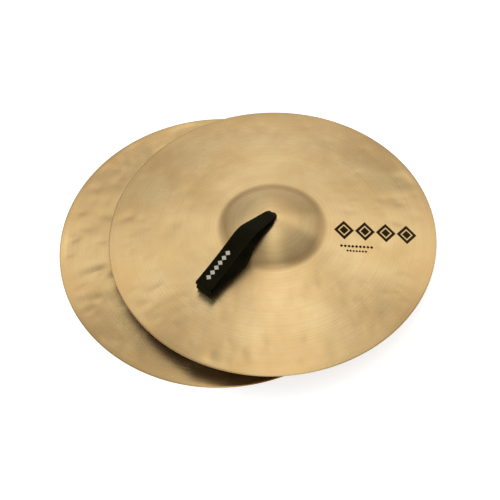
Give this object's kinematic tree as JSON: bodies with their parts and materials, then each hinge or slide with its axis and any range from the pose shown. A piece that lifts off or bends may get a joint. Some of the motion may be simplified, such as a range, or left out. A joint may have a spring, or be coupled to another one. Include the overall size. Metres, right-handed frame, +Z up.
{
  "type": "hand cymbals",
  "caption": "Pair of orchestral hand cymbals lying one on the other, each a thin hammered disc with a raised bell and a leather hand strap knotted through its centre hole.",
  "frame": {"origin": "on the lower cymbal's axis, in the plane of its rim, where it stands", "axes": "+X to the right, the way the upper cymbal is offset; +Y to the back; +Z up along the lower cymbal's axis"},
  "size_m": [0.5298, 0.4646, 0.1036],
  "materials": {
    "bronze": "hammered and finely lathed, satin",
    "leather": "dyed black, lightly grained"
  },
  "bodies": {
    "lower_cymbal": {"lower_cymbal": "bronze", "lower_strap_neck": "leather", "lower_strap_tail_1": "leather", "lower_strap_tail_2": "leather", "lower_strap_tail_3": "leather", "lower_strap_tail_4": "leather"},
    "lower_strap": {"lower_strap_loop": "leather"},
    "upper_cymbal": {"upper_cymbal": "bronze"},
    "upper_knot": {"upper_strap_neck": "leather", "upper_strap_tail_1": "leather", "upper_strap_tail_2": "leather", "upper_strap_tail_3": "leather", "upper_strap_tail_4": "leather"},
    "upper_strap": {"upper_strap_loop": "leather"}
  },
  "joints": [
    {"name": "upper_lift", "type": "slide", "parent": "lower_cymbal", "child": "upper_cymbal", "axis": [0, 0, 1], "range_m": [0, 0.3]},
    {"name": "upper_strap_swivel", "type": "hinge", "parent": "upper_cymbal", "child": "upper_knot", "pos_m": [0.0726, -0.0076, 0.0335], "axis": [-0.0077, 0.0415, 0.9991], "continuous": true},
    {"name": "upper_strap_tilt", "type": "hinge", "parent": "upper_knot", "child": "upper_strap", "pos_m": [0.07219, -0.00541, 0.08615], "axis": [-0.7512, 0.6592, -0.0332], "range_deg": [0, 110]},
    {"name": "lower_strap_tilt", "type": "hinge", "parent": "lower_cymbal", "child": "lower_strap", "pos_m": [0, 0, 0.0527], "axis": [-0.1045, -0.9945, 0], "range_deg": [0, 100]}
  ],
  "couplings": [
    {"joint": "lower_strap_tilt", "follows": "upper_lift", "rad_per_m": 5.8}
  ]
}
